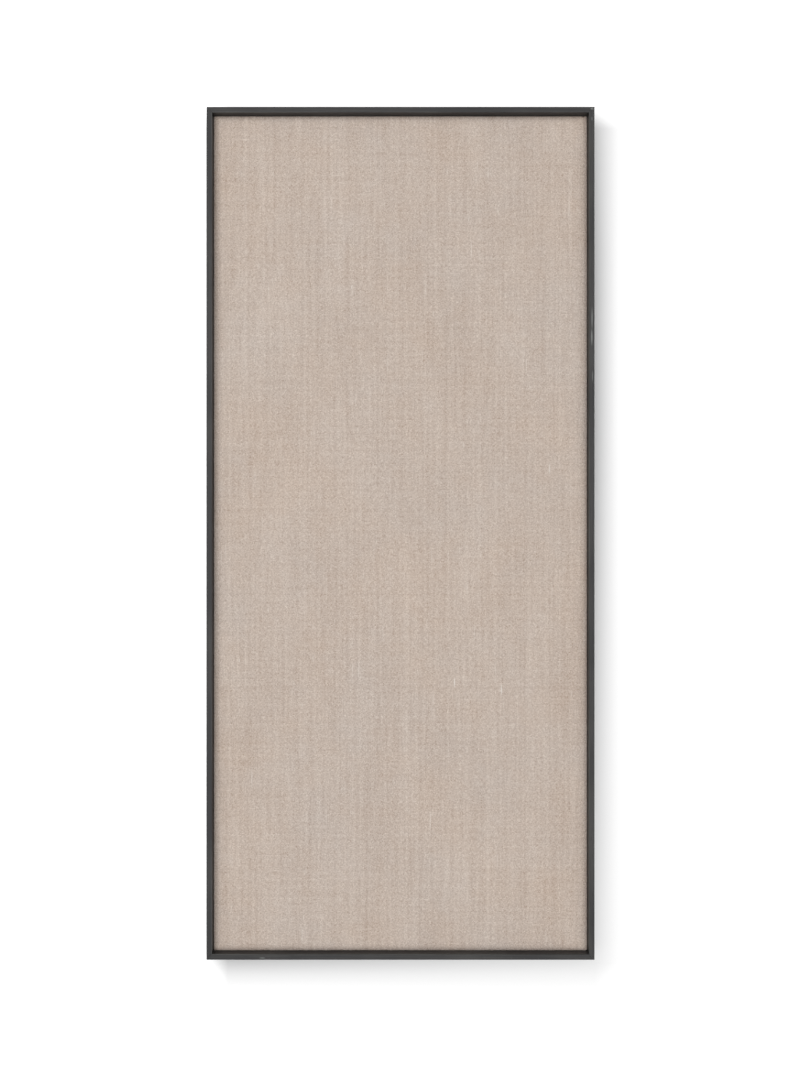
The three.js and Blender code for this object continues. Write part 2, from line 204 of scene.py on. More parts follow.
def wearAndHighlightAmount(tree, place, grain, alongX):
    # How far the stain is gone: worn spots on the front face, and a band along its two long edges that is
    # wear and a painted highlight, broken up by the grain
    axes = addNode(tree, "SeparateXYZ", [place]).outputs
    spots = ovals(tree, axes["X"], axes["Z"], rubbedSpots)
    outer = cadHigh.z if alongX else cadHigh.x
    across = addNode(tree, "Math", [axes["Z"] if alongX else axes["X"]], operation="ABSOLUTE")
    toOuter = addNode(tree, "Math", [outer, across], operation="SUBTRACT")
    toInner = addNode(tree, "Math", [toOuter, stain["faceWidth"]], operation="SUBTRACT")
    toInner = addNode(tree, "Math", [toInner], operation="ABSOLUTE")
    toEdge = addNode(tree, "Math", [toOuter, toInner], operation="MINIMUM")
    # A band along the face's edges: wear, and a painted highlight on the eased edges
    edge = addNode(tree, "MapRange", [toEdge, stain["arrisWidth"], 0])
    edgeWearAndHighlightNoise = addNode(tree, "TexNoise", {"Vector": place, "Scale": 1 / stain["wearAndHighlightLength"], "Detail": 3})
    edgeWearAndHighlight = addNode(tree, "MapRange", [edgeWearAndHighlightNoise, *stain["wearAndHighlightRange"], 0, stain["wearAndHighlightShare"]])
    edgeWearAndHighlight = addNode(tree, "Math", [edge, edgeWearAndHighlight], operation="MULTIPLY")
    amount = addNode(tree, "Math", [spots, edgeWearAndHighlight], operation="MAXIMUM")
    skin = cadLow.y + stain["frontSkin"]
    front = addNode(tree, "MapRange", [axes["Y"], skin + mm, skin])
    broken = addNode(tree, "MapRange", [grain, *stain["grainBreak"]])
    amount = addNode(tree, "Math", [amount, front], operation="MULTIPLY")
    return addNode(tree, "Math", [amount, broken], operation="MULTIPLY")


# Natural linen, plain woven from unbleached flax of uneven thickness: it gives a dull heathered beige with
# long upright streaks where a warp thread runs lighter or darker, and a few pale slubs
flax = {
    "brown": "#a59183",          # the darkest threads
    "pale": "#e1d5ca",           # the lightest
    "slub": "#e6e0d9",
    "middle": 0.431,             # the mean shade, between brown and pale
    "threadPitch": 1.3 * mm,     # real threads are taken as 0.9 mm apart, too fine to show here
    "threadLength": 60 * mm,     # how far a thread keeps its shade
    "lumpLength": 1.7 * mm,      # and how short the darker and paler lumps along it are
    "warpApart": 7.31,           # how far apart in the noise two neighbouring threads lie
    "weftApart": 5.17,
    "fibreWidth": 0.16 * mm,
    "fibreLength": 2.5 * mm,
    "wander": 8 * mm,            # how often a thread leaves its straight line
    "sway": 0.9,                 # and how far, in pitches
    "streakWidth": 3.5 * mm,
    "streakLength": 90 * mm,
    "stripeWidth": 5 * mm,
    "stripeLength": 1200 * mm,   # also of the level stripes, where a weft thread is darker
    "patchWidth": 60 * mm,
    "patchLength": 150 * mm,
    "tintSize": 160 * mm,        # broad warmer and cooler areas, with finer ones within them
    "tintDepth": 0.8,
    "nepps": ((1.6 * mm, 14 * mm), (1.8 * mm, 45 * mm)),     # small faint slubs, strewn all over
    "neppRange": (0.78, 0.9),    # noise values where one begins and is full
    "neppShare": 0.4,            # how pale it gets
    "slubShare": 0.65,           # and a thick slub
    "threadHeight": 0.3 * mm,
    "fibreRelief": 0.25,         # how much the fibres stand out, as a share of the threads
}

# How far each cause moves the shade between brown and pale. "round" is painted shade, darker where the
# threads dip
shadeShares = {
    "lump": 1.43,
    "thread": 0.26,
    "streak": 0.28,
    "stripe": 0.28,
    "level stripe": 0.16,
    "patch": 0.2,
    # painted shade in the dips between the threads
    "round": 0.32,
    "fibre": 0.35,
}

# The thick slubs: the middle of each on the cloth, and how far it reaches across and up
slubs = {
    "below the middle": ((63.8 * mm, -176 * mm), (0.8 * mm, 5 * mm)),
    "lower right": ((119.2 * mm, -185 * mm), (0.8 * mm, 6 * mm)),
    "right": ((176.1 * mm, 76.5 * mm), (0.7 * mm, 6 * mm)),
    "upper left": ((-57.9 * mm, 290.7 * mm), (0.45 * mm, 2 * mm)),
    "left": ((-190.2 * mm, -150 * mm), (0.5 * mm, 2 * mm)),
}


def naturalLinen():
    material, tree, shader = newMaterial("natural linen, plain woven", {
        "Roughness": 0.9,
        "Specular IOR Level": 0.25,
        "Sheen Weight": 0.08,
        "Sheen Roughness": 0.5,
    })
    cloth = addNode(tree, "UVMap", uv_map="cloth")
    place = addNode(tree, "SeparateXYZ", [cloth]).outputs
    pitch, sway = flax["threadPitch"], flax["sway"]
    drift = addNode(tree, "TexNoise", {"Vector": cloth, "Scale": 1 / flax["wander"], "Detail": 3})
    drift = addNode(tree, "Math", [drift, sway, -sway / 2], operation="MULTIPLY_ADD")
    threads = []
    for axis in ("X", "Y"):
        at = addNode(tree, "Math", [place[axis], pitch], operation="DIVIDE")
        at = addNode(tree, "Math", [at, drift], operation="ADD")
        number = addNode(tree, "Math", [at], operation="FLOOR")
        within = addNode(tree, "Math", [at], operation="FRACT")
        within = addNode(tree, "Math", [within, math.pi], operation="MULTIPLY")
        threads.append((at, number, addNode(tree, "Math", [within], operation="SINE")))
    (u, uThread, uRound), (v, vThread, vRound) = threads

    # Warp and weft pass over and under each other in turn
    odd = addNode(tree, "Math", [uThread, vThread], operation="ADD")
    odd = addNode(tree, "Math", [odd, 2], operation="FLOORED_MODULO")
    warpTurn = addNode(tree, "Math", [odd, -1, 0.5], operation="MULTIPLY_ADD")
    weftTurn = addNode(tree, "Math", [warpTurn, -1], operation="MULTIPLY")
    warpLift = addNode(tree, "Math", [warpTurn, vRound, 0.5], operation="MULTIPLY_ADD")
    weftLift = addNode(tree, "Math", [weftTurn, uRound, 0.5], operation="MULTIPLY_ADD")
    warp = addNode(tree, "Math", [uRound, warpLift], operation="MULTIPLY")
    weft = addNode(tree, "Math", [vRound, weftLift], operation="MULTIPLY")
    height = addNode(tree, "Math", [warp, weft], operation="MAXIMUM")
    warpShows = addNode(tree, "Math", [warp, weft], operation="GREATER_THAN")

    def stretched(width, length, detail):
        spread = addNode(tree, "Mapping", {"Vector": cloth, "Scale": (1 / width, 1 / length, 1)})
        return addNode(tree, "TexNoise", {"Vector": spread, "Scale": 1, "Detail": detail})

    def shown(weftValue, warpValue):
        return addNode(tree, "MixRGB", [warpShows, weftValue, warpValue])

    def spun(length):
        # A shade that changes along each thread, taken from the thread that shows
        along = pitch / length
        warpX = addNode(tree, "Math", [uThread, flax["warpApart"]], operation="MULTIPLY")
        warpY = addNode(tree, "Math", [v, along], operation="MULTIPLY")
        weftX = addNode(tree, "Math", [u, along], operation="MULTIPLY")
        weftY = addNode(tree, "Math", [vThread, flax["weftApart"]], operation="MULTIPLY")
        shades = []
        for ends in ([weftX, weftY], [warpX, warpY]):
            at = addNode(tree, "CombineXYZ", ends)
            shades.append(addNode(tree, "TexNoise", {"Vector": at, "Scale": 1, "Detail": 1}))
        return shown(*shades)

    fibreWidth, fibreLength = flax["fibreWidth"], flax["fibreLength"]
    causes = {
        "lump": spun(flax["lumpLength"]),
        "thread": spun(flax["threadLength"]),
        "streak": stretched(flax["streakWidth"], flax["streakLength"], 2),
        "stripe": stretched(flax["stripeWidth"], flax["stripeLength"], 2),
        "level stripe": stretched(flax["stripeLength"], flax["stripeWidth"], 2),
        "patch": stretched(flax["patchWidth"], flax["patchLength"], 1),
        # painted shade: darker where a thread dips under the other
        "round": height,
        "fibre": shown(stretched(fibreLength, fibreWidth, 1), stretched(fibreWidth, fibreLength, 1)),
    }
    shade = flax["middle"]
    for cause, value in causes.items():
        off = addNode(tree, "Math", [value, 0.5], operation="SUBTRACT")
        shade = addNode(tree, "Math", [off, shadeShares[cause], shade], operation="MULTIPLY_ADD")
    shade = addNode(tree, "Clamp", [shade])
    colour = addNode(tree, "MixRGB", [shade, fromHex(flax["brown"]), fromHex(flax["pale"])])
    areas = {"Vector": cloth, "Scale": 1 / flax["tintSize"], "Detail": 7, "Roughness": 0.75}
    tint = addNode(tree, "Math", [addNode(tree, "TexNoise", areas), 0.5], operation="SUBTRACT")
    tint = addNode(tree, "Math", [tint, flax["tintDepth"], 1], operation="MULTIPLY_ADD")
    colour = addNode(tree, "HueSaturation", {"Saturation": tint, "Color": colour})

    slub = ovals(tree, place["X"], place["Y"], slubs)
    slub = addNode(tree, "Math", [slub, flax["slubShare"]], operation="MULTIPLY")
    for width, length in flax["nepps"]:
        strewn = stretched(width, length, 0)
        nepp = addNode(tree, "MapRange", [strewn, *flax["neppRange"], 0, flax["neppShare"]])
        slub = addNode(tree, "Math", [slub, nepp], operation="MAXIMUM")
    colour = addNode(tree, "MixRGB", [slub, colour, fromHex(flax["slub"])])
    raised = addNode(tree, "Math", [height, slub], operation="ADD")
    raised = addNode(tree, "Math", [causes["fibre"], flax["fibreRelief"], raised], operation="MULTIPLY_ADD")
    bump = addNode(tree, "Bump", {"Height": raised, "Distance": flax["threadHeight"], "Strength": 0.4})
    dress(tree, shader, colour, bump)
    return material


# Hardboard, wet-pressed wood fibre with its smooth face out: it gives a flat dark tan with paler fibre
# flecks and a faint calendered shine
def hardboard():
    look = {
        "dark": "#694b35",
        "light": "#78583f",
        "fleck": "#a3835f",
        "fleckSize": 1.4 * mm,
        "fleckRange": (0.56, 0.7),
        "fleckShare": 0.6,
        "cloudSize": 70 * mm,
        "roughness": (0.5, 0.68),
        "fibreDepth": 0.04 * mm,
    }
    material, tree, shader = newMaterial("hardboard, smooth face", {"Specular IOR Level": 0.4})
    place = addNode(tree, "TexCoord").outputs["Object"]
    broad = {"Vector": place, "Scale": 1 / look["cloudSize"], "Detail": 4, "Roughness": 0.7}
    fine = {"Vector": place, "Scale": 1 / look["fleckSize"], "Detail": 3, "Distortion": 2}
    clouds = addNode(tree, "TexNoise", broad)
    fibres = addNode(tree, "TexNoise", fine)
    mottle = addNode(tree, "MapRange", [clouds, *noiseRange])
    flecks = addNode(tree, "MapRange", [fibres, *look["fleckRange"], 0, look["fleckShare"]])
    colour = addNode(tree, "MixRGB", [mottle, fromHex(look["dark"]), fromHex(look["light"])])
    colour = addNode(tree, "MixRGB", [flecks, colour, fromHex(look["fleck"])])
    shine = addNode(tree, "MapRange", [fibres, *noiseRange, *look["roughness"]])
    bump = addNode(tree, "Bump", {"Height": fibres, "Distance": look["fibreDepth"], "Strength": 0.4})
    dress(tree, shader, colour, bump, shine)
    return material


# Softboard, loosely felted wood fibre: it gives a dull straw brown with a furry, pitted surface
def softboard():
    look = {"dark": "#8f7350", "light": "#b99a72", "fibreSize": 2.5 * mm, "pitDepth": 0.3 * mm}
    material, tree, shader = newMaterial("softboard, raw wood fibre", {"Roughness": 0.95})
    place = addNode(tree, "TexCoord").outputs["Object"]
    felted = {"Vector": place, "Scale": 1 / look["fibreSize"], "Detail": 5, "Distortion": 3}
    fibres = addNode(tree, "TexNoise", felted)
    mottle = addNode(tree, "MapRange", [fibres, *noiseRange])
    colour = addNode(tree, "MixRGB", [mottle, fromHex(look["dark"]), fromHex(look["light"])])
    bump = addNode(tree, "Bump", {"Height": fibres, "Distance": look["pitDepth"]})
    dress(tree, shader, colour, bump)
    return material


# Steel, zinc plated or left bright: cloudy patches in the plate and fine rubbing marks blur the shine
def steel(name, bright, dull, smooth, blurred, patch):
    look = {"patchRange": (0.35, 0.65), "marksPerPatch": 9, "markDepth": 0.02 * mm}
    material, tree, shader = newMaterial(name, {"Metallic": 1})
    place = addNode(tree, "TexCoord").outputs["Object"]
    clouds = addNode(tree, "TexNoise", {"Vector": place, "Scale": 1 / patch, "Detail": 4, "Roughness": 0.65})
    marks = addNode(tree, "TexNoise", {"Vector": place, "Scale": look["marksPerPatch"] / patch, "Detail": 2})
    mottle = addNode(tree, "MapRange", [clouds, *look["patchRange"]])
    colour = addNode(tree, "MixRGB", [mottle, fromHex(dull), fromHex(bright)])
    shine = addNode(tree, "MapRange", [clouds, *noiseRange, blurred, smooth])
    bump = addNode(tree, "Bump", {"Height": marks, "Distance": look["markDepth"], "Strength": 0.3})
    dress(tree, shader, colour, bump, shine)
    return material


# Natural rubber, moulded: it gives a dead matt black with a bloom of grey dust in its fine grain
def mouldedRubber():
    look = {
        "dark": "#1d1d1d",
        "bloom": "#343332",
        "bloomRange": (0.4, 0.75),
        "grain": 0.5 * mm,
        "grainDepth": 0.03 * mm,
        "roughness": (0.7, 0.88),
    }
    material, tree, shader = newMaterial("black rubber, moulded", {"Specular IOR Level": 0.35})
    place = addNode(tree, "TexCoord").outputs["Object"]
    grain = addNode(tree, "TexNoise", {"Vector": place, "Scale": 1 / look["grain"], "Detail": 3})
    dust = addNode(tree, "MapRange", [grain, *look["bloomRange"]])
    colour = addNode(tree, "MixRGB", [dust, fromHex(look["dark"]), fromHex(look["bloom"])])
    shine = addNode(tree, "MapRange", [grain, *noiseRange, *look["roughness"]])
    bump = addNode(tree, "Bump", {"Height": grain, "Distance": look["grainDepth"], "Strength": 0.4})
    dress(tree, shader, colour, bump, shine)
    return material


mouldingWood = {
    name: stainedWood("black-stained pine, " + name.replace("_", " "), "rail" in name, tone)
    for name, tone in paler.items()
}
linenCloth = naturalLinen()
hardboardFace = hardboard()
softboardFibre = softboard()
zincPlate = steel("zinc-plated steel, bright", "#c9cccf", "#a4a8ac", 0.24, 0.4, 5 * mm)
brightWire = steel("bright steel strip", "#a9abad", "#8b8c8c", 0.3, 0.45, 3 * mm)
blackRubber = mouldedRubber()
print("materials made")


# Shapes
def finishPiece(bm, name, material, body, standsFor):
    mesh = bpy.data.meshes.new(name)
    bm.to_mesh(mesh)
    bm.free()
    mesh.materials.append(material)
    mesh.shade_smooth()
    piece = bpy.data.objects.new(name, mesh)
    bpy.context.scene.collection.objects.link(piece)
    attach(piece, body)
    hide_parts(standsFor)
    return piece


def closeUp(bm):
    bmesh.ops.remove_doubles(bm, verts=bm.verts, dist=touch / 10)
    bmesh.ops.recalc_face_normals(bm, faces=bm.faces)


def turned(points, steps):
    # A solid turned about the Y axis, from points of radius and y that start and end on the axis
    bm = bmesh.new()
    verts = [bm.verts.new((radius, y, 0)) for radius, y in points]
    edges = [bm.edges.new(pair) for pair in zip(verts, verts[1:])]
    bmesh.ops.spin(
        bm, geom=verts + edges, cent=(0, 0, 0), axis=(0, 1, 0),
        angle=math.tau, steps=steps, use_merge=True,
    )
    closeUp(bm)
    return bm


def sweep(bm, ring, moves):
    # Carries a ring of edges on, by straight runs and turns
    for move in moves:
        corners = list({v for e in ring for v in e.verts})
        if "run" in move:
            made = bmesh.ops.extrude_edge_only(bm, edges=ring)["geom"]
            moved = [g for g in made if isinstance(g, bmesh.types.BMVert)]
            bmesh.ops.translate(bm, vec=move["run"], verts=moved)
            ring = [g for g in made if isinstance(g, bmesh.types.BMEdge) and not set(g.verts) & set(corners)]
        else:
            made = bmesh.ops.spin(
                bm, geom=corners + ring, cent=move["about"], axis=(0, 1, 0),
                angle=move["turn"], steps=move["steps"],
            )["geom_last"]
            ring = [g for g in made if isinstance(g, bmesh.types.BMEdge)]
    return ring


# The linen, one sheet: over the front, round the edges and folded to the back, where a folded corner lies
# a little proud
sheet = {
    "thickness": 0.7 * mm,
    "proud": 0.2 * mm,           # how much nearer to the frame the cloth comes than its solid
    "sideCrown": {"width": 15 * mm, "drop": 3.5 * mm, "power": 2.1},     # the front's edge at the stiles
    "endCrown": {"width": 9.5 * mm, "drop": 2.9 * mm, "power": 1.7},     # and at the rails
    "crownStep": 1.2 * mm,
    "crownBlend": 8,             # how square the rounding stays in the corners
    "cornerFall": 1.05,          # how much further than an edge a corner may fall back
    "backRound": 2.5 * mm,
    "cornerRound": 1.6 * mm,
    "roundSteps": 4,
    "hem": 32 * mm,
    "gridStep": 7 * mm,
    "slack": 0.12 * mm,
    "slackSize": 70 * mm,
    "slackFade": 20 * mm,        # how far from an edge the slack is full
    "rawEdgeWander": 0.7 * mm,
    "rawEdgeSize": 14 * mm,
    "foldRise": 0.2 * mm,
    "foldLength": 10 * mm,       # how far from a mitre the cloth lies proud
}


def cuts(bm, axis, places, geometry=None):
    for place in places:
        point = Vector((0, 0, 0))
        point[axis] = place
        normal = Vector((0, 0, 0))
        normal[axis] = 1
        geom = geometry or bm.verts[:] + bm.edges[:] + bm.faces[:]
        bmesh.ops.bisect_plane(bm, geom=geom, plane_co=point, plane_no=normal, dist=touch)


def evenPlaces(low, high, step):
    count = math.ceil((high - low) / step)
    return [low + (high - low) * i / count for i in range(count + 1)]


def linenSheet():
    low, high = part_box("linen_cover")
    # The cloth swells almost to the frame
    swell = Vector((sheet["proud"], 0, sheet["proud"]))
    low, high = low - swell, high + swell
    size, middle = high - low, (low + high) / 2
    bm = bmesh.new()
    bmesh.ops.create_cube(bm, size=1)
    bmesh.ops.scale(bm, vec=size, verts=bm.verts)
    bmesh.ops.translate(bm, vec=middle, verts=bm.verts)
    upright = [e for e in bm.edges if abs(e.verts[0].co.y - e.verts[1].co.y) > size.y / 2]
    bmesh.ops.bevel(
        bm, geom=upright, offset=sheet["cornerRound"], affect="EDGES",
        segments=sheet["roundSteps"], profile=0.5, material=-1,
    )
    backRim = [e for e in bm.edges if min(v.co.y for v in e.verts) > middle.y]
    bmesh.ops.bevel(
        bm, geom=backRim, offset=sheet["backRound"], affect="EDGES",
        segments=sheet["roundSteps"], profile=0.5, material=-1,
    )
    halfWide, halfHigh = size.x / 2, size.z / 2
    openWide, openHigh = halfWide - sheet["hem"], halfHigh - sheet["hem"]
    cuts(bm, 0, evenPlaces(-openWide, openWide, sheet["gridStep"]))
    cuts(bm, 2, evenPlaces(-openHigh, openHigh, sheet["gridStep"]))
    for sign in (-1, 1):
        for axis, opened, half, wide in (
            (0, openWide, halfWide, sheet["sideCrown"]["width"]),
            (2, openHigh, halfHigh, sheet["endCrown"]["width"]),
        ):
            flat = evenPlaces(opened, half - wide, sheet["gridStep"])[1:]
            rounded = evenPlaces(half - wide, half, sheet["crownStep"])[1:-1]
            cuts(bm, axis, [sign * place for place in flat + rounded])

    back = high.y - touch
    opening = [f for f in bm.faces if f.calc_center_median().y > back
               and abs(f.calc_center_median().x) < openWide and abs(f.calc_center_median().z) < openHigh]
    bmesh.ops.delete(bm, geom=opening, context="FACES")
    foldCorners(bm, back, halfWide, halfHigh)
    unroll(bm, low, high)
    settle(bm, low, high, openWide, openHigh)
    bmesh.ops.recalc_face_normals(bm, faces=bm.faces)
    piece = finishPiece(bm, "linenSheet", linenCloth, "board", "linen_cover")
    wall = piece.modifiers.new("cloth thickness", "SOLIDIFY")
    wall.thickness = sheet["thickness"]
    wall.offset = -1
    return piece


def foldCorners(bm, back, halfWide, halfHigh):
    # A mitre in the hem at each corner, split open so that the side's hem can lie over the rail's
    reach = sheet["hem"] + mm
    for signX in (-1, 1):
        for signZ in (-1, 1):
            def inCorner(point):
                return (point.y > back and point.x * signX > halfWide - reach
                        and point.z * signZ > halfHigh - reach)
            faces = [f for f in bm.faces if inCorner(f.calc_center_median())]
            edges = list({e for f in faces for e in f.edges})
            verts = list({v for f in faces for v in f.verts})
            bmesh.ops.bisect_plane(
                bm, geom=verts + edges + faces, dist=touch,
                plane_co=(signX * halfWide, 0, signZ * halfHigh), plane_no=(signX, 0, -signZ),
            )
    mitres = [e for e in bm.edges if all(
        v.co.y > back and abs(abs(v.co.x) - halfWide - abs(v.co.z) + halfHigh) < 2 * touch for v in e.verts
    )]
    bmesh.ops.split_edges(bm, edges=mitres)


def beyondFront(inset, depth, thick):
    # How far along the cloth a point lies past the front: down the side, round the back edge, onto the back
    bend = sheet["backRound"]
    if depth < thick - bend:
        return depth
    if inset < bend:
        return thick - bend + bend * math.atan2(depth - thick + bend, bend - inset)
    return thick - bend + bend * math.pi / 2 + inset - bend


def unroll(bm, low, high):
    # The cloth's own map, in metres, as if it were laid flat again
    layer = bm.loops.layers.uv.new("cloth")
    size, middle = high - low, (low + high) / 2
    for face in bm.faces:
        at = face.calc_center_median() - middle
        aside = abs(at.x) - size.x / 2 > abs(at.z) - size.z / 2
        frontal = abs(face.normal.y) > 0.999 and at.y < 0
        for loop in face.loops:
            point = loop.vert.co - middle
            u, v = point.x, point.z
            if not frontal and aside:
                past = beyondFront(size.x / 2 - abs(point.x), loop.vert.co.y - low.y, size.y)
                u = math.copysign(size.x / 2 + past, point.x)
            elif not frontal:
                past = beyondFront(size.z / 2 - abs(point.z), loop.vert.co.y - low.y, size.y)
                v = math.copysign(size.z / 2 + past, point.z)
            loop[layer].uv = (u, v)


def crown(insetX, insetZ):
    # How far the front falls back near its edges, where the padding is rounded; less square at the corners
    falls = []
    for inset, edge in ((insetX, sheet["sideCrown"]), (insetZ, sheet["endCrown"])):
        reach = min(1, max(0, 1 - inset / edge["width"]))
        falls.append(edge["drop"] * reach ** edge["power"])
    blend = sheet["crownBlend"]
    return min(max(falls) * sheet["cornerFall"], sum(fall ** blend for fall in falls) ** (1 / blend))


def settle(bm, low, high, openWide, openHigh):
    # Slight slack in the front, a wandering raw edge behind, and the proud folds at the corners
    front, back = low.y + touch, high.y - touch
    halfWide, halfHigh = (high.x - low.x) / 2, (high.z - low.z) / 2
    overlap = {v for f in bm.faces for v in f.verts if f.calc_center_median().y > back
               and abs(f.calc_center_median().x) - halfWide > abs(f.calc_center_median().z) - halfHigh}
    for vert in bm.verts:
        point = vert.co
        inside = min(halfWide - abs(point.x), halfHigh - abs(point.z))
        if point.y < front:
            fade = min(1, inside / sheet["slackFade"])
            point.y += fade * sheet["slack"] * noise.noise(point / sheet["slackSize"])
            point.y += crown(halfWide - abs(point.x), halfHigh - abs(point.z))
        elif point.y > back and inside > sheet["hem"] - touch:
            wander = sheet["rawEdgeWander"] * noise.noise(point / sheet["rawEdgeSize"])
            if abs(point.x) > openWide - touch:
                point.x += wander
            if abs(point.z) > openHigh - touch:
                point.z += wander
        if vert in overlap:
            toMitre = abs(abs(point.x) - halfWide - abs(point.z) + halfHigh)
            point.y += sheet["foldRise"] * max(0, 1 - toMitre / sheet["foldLength"])


# Screws. The recess is cut with a tapered cross.
screw = {
    "steps": 28,
    "headRadius": 2.9 * mm,
    "headHeight": 1.7 * mm,
    "panHeight": 1.6 * mm,
    "rimHeight": 0.2 * mm,
    "rimRound": 0.15 * mm,
    "shankRadius": 1.5 * mm,
    "pointLength": 3 * mm,
    "recessLength": 3.4 * mm,
    "recessWidth": 0.8 * mm,
    "recessDepth": 0.9 * mm,
    "recessTaper": 0.55,
    "recessNarrowing": 0.8,
    "turnVariety": 90,           # how differently neighbouring screws are turned
    "sharpAngle": 32,            # an edge steeper than this, in degrees, stays sharp
}


def cross(top):
    bm = bmesh.new()
    for turn in (0, math.pi / 2):
        block = bmesh.ops.create_cube(bm, size=1)["verts"]
        size = (screw["recessLength"], 2 * screw["recessDepth"], screw["recessWidth"])
        bmesh.ops.scale(bm, vec=size, verts=block)
        floor = [v for v in block if v.co.y < 0]
        bmesh.ops.scale(bm, vec=(screw["recessTaper"], 1, screw["recessNarrowing"]), verts=floor)
        bmesh.ops.rotate(bm, matrix=Matrix.Rotation(turn, 3, "Y"), verts=block)
        bmesh.ops.translate(bm, vec=(0, top, 0), verts=block)
    mesh = bpy.data.meshes.new("cross")
    bm.to_mesh(mesh)
    bm.free()
    return mesh


def withRecess(bm, top):
    # Cuts the cross out of the head, and gives the mesh that is left
    parts = []
    mesh = bpy.data.meshes.new("head")
    bm.to_mesh(mesh)
    bm.free()
    for part in (mesh, cross(top)):
        parts.append(bpy.data.objects.new(part.name, part))
        bpy.context.scene.collection.objects.link(parts[-1])
    head, tool = parts
    cutter = head.modifiers.new("recess", "BOOLEAN")
    cutter.object = tool
    cutter.solver = "EXACT"
    cutter.use_self = True
    graph = bpy.context.evaluated_depsgraph_get()
    result = bpy.data.meshes.new_from_object(head.evaluated_get(graph))
    for part in parts:
        bpy.data.objects.remove(part)
    return result


def placedScrews(mesh, kind):
    for node in sorted(nodes):
        if kind not in node:
            continue
        low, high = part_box(node)
        middle = (low + high) / 2
        bm = bmesh.new()
        bm.from_mesh(mesh)
        turn = math.pi * noise.noise(middle * screw["turnVariety"])  # each was driven home at its own angle
        bmesh.ops.rotate(bm, matrix=Matrix.Rotation(turn, 3, "Y"), verts=bm.verts)
        bmesh.ops.translate(bm, vec=(middle.x, 0, middle.z), verts=bm.verts)
        name = node.replace(kind, kind + "Head")
        piece = finishPiece(bm, name, zincPlate, "board", node)
        smoothByAngle(piece, screw["sharpAngle"])


def smoothByAngle(piece, degrees):
    # Smooth where faces meet gently, and sharp along real edges
    piece.data.set_sharp_from_angle(angle=math.radians(degrees))


def panelScrews():
    low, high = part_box("top_panel_screw_middle")
    top, tip = high.y, low.y
    rim = screw["headRadius"]
    bm = turned([
        (0, top),
        (rim - screw["rimRound"], top),
        (rim, top - screw["rimHeight"] / 2),
        (rim, top - screw["rimHeight"]),
        (screw["shankRadius"], top - screw["headHeight"]),
        (screw["shankRadius"], tip + screw["pointLength"]),
        (0, tip),
    ], screw["steps"])
    placedScrews(withRecess(bm, top), "panel_screw")


def hangerScrews():
    low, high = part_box("left_hanger_screw_upper")
    top, tip, rim, tall = high.y, low.y, screw["headRadius"], screw["panHeight"]
    seat = top - tall
    bm = turned([
        (0, top),
        (0.45 * rim, top - 0.04 * tall),
        (0.75 * rim, top - 0.2 * tall),
        (0.93 * rim, top - 0.45 * tall),
        (rim, top - 0.72 * tall),
        (0.985 * rim, seat + 0.06 * tall),
        (0.93 * rim, seat),
        (screw["shankRadius"], seat),
        (screw["shankRadius"], tip + screw["pointLength"]),
        (0, tip),
    ], screw["steps"])
    placedScrews(withRecess(bm, top), "hanger_screw")


# Staples: flat wire, bent square with a small radius
staple = {
    "wireWidth": 1.2 * mm,
    "wireThickness": 0.6 * mm,
    "bend": 0.35 * mm,
    "bendSteps": 4,
    "edge": 0.12 * mm,
    "tilt": 0.06,                # the most that one is driven out of square, in radians
    "tiltVariety": 40,
    "sharpAngle": 40,
}


def stapleShape(span, tip, back):
    # The crown lies along Z, and the wire turns about X, so it is swept in the XY plane and then turned
    bm = bmesh.new()
    thick, wide, bend = staple["wireThickness"], staple["wireWidth"], staple["bend"]
    made = bmesh.ops.create_grid(bm, x_segments=1, y_segments=1, size=0.5)
    bmesh.ops.scale(bm, vec=(thick, wide, 1), verts=made["verts"])
    bmesh.ops.bevel(
        bm, geom=bm.verts[:], offset=staple["edge"], affect="VERTICES",
        segments=2, profile=0.5, material=-1,
    )
    leg = span / 2 - thick / 2
    bmesh.ops.translate(bm, vec=(leg, 0, 0), verts=bm.verts)
    ring = [e for e in bm.edges if e.is_boundary]
    rise = back - tip - thick - bend
    reach = bend + thick / 2
    sweep(bm, ring, [
        {"run": (0, 0, rise)},
        {"about": (leg - reach, 0, rise), "turn": -math.pi / 2, "steps": staple["bendSteps"]},
        {"run": (-2 * (leg - reach), 0, 0)},
        {"about": (reach - leg, 0, rise), "turn": -math.pi / 2, "steps": staple["bendSteps"]},
        {"run": (0, 0, -rise)},
    ])
    bmesh.ops.holes_fill(bm, edges=[e for e in bm.edges if e.is_boundary])
    closeUp(bm)
    # Stands the legs along Y, with the crown away from the board
    bmesh.ops.rotate(bm, matrix=Matrix.Rotation(-math.pi / 2, 3, "X"), verts=bm.verts)
    bmesh.ops.translate(bm, vec=(0, tip, 0), verts=bm.verts)
    return bm


def staples():
    for node in sorted(n for n in nodes if "_staple_" in n):
        low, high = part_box(node)
        size, middle = high - low, (low + high) / 2
        bm = stapleShape(max(size.x, size.z), low.y, high.y)
        # Driven by hand, so none is quite square
        tilt = staple["tilt"] * noise.noise(middle * staple["tiltVariety"])
        turn = tilt + (math.pi / 2 if size.z > size.x else 0)
        bmesh.ops.rotate(bm, matrix=Matrix.Rotation(turn, 3, "Y"), verts=bm.verts)
        bmesh.ops.translate(bm, vec=(middle.x, 0, middle.z), verts=bm.verts)
        piece = finishPiece(bm, node + "_wire", zincPlate, "board", node)
        smoothByAngle(piece, staple["sharpAngle"])


# D-rings: round wire bent to a D, its two ends meeting inside the strap's curl
ring = {
    "wireSides": 16,
    "bend": 1.6 * mm,
    "bendSteps": 6,
    "endGap": 0.5 * mm,
    "armLength": 3 * mm,
    "roundSteps": 28,
    "sharpAngle": 50,
}


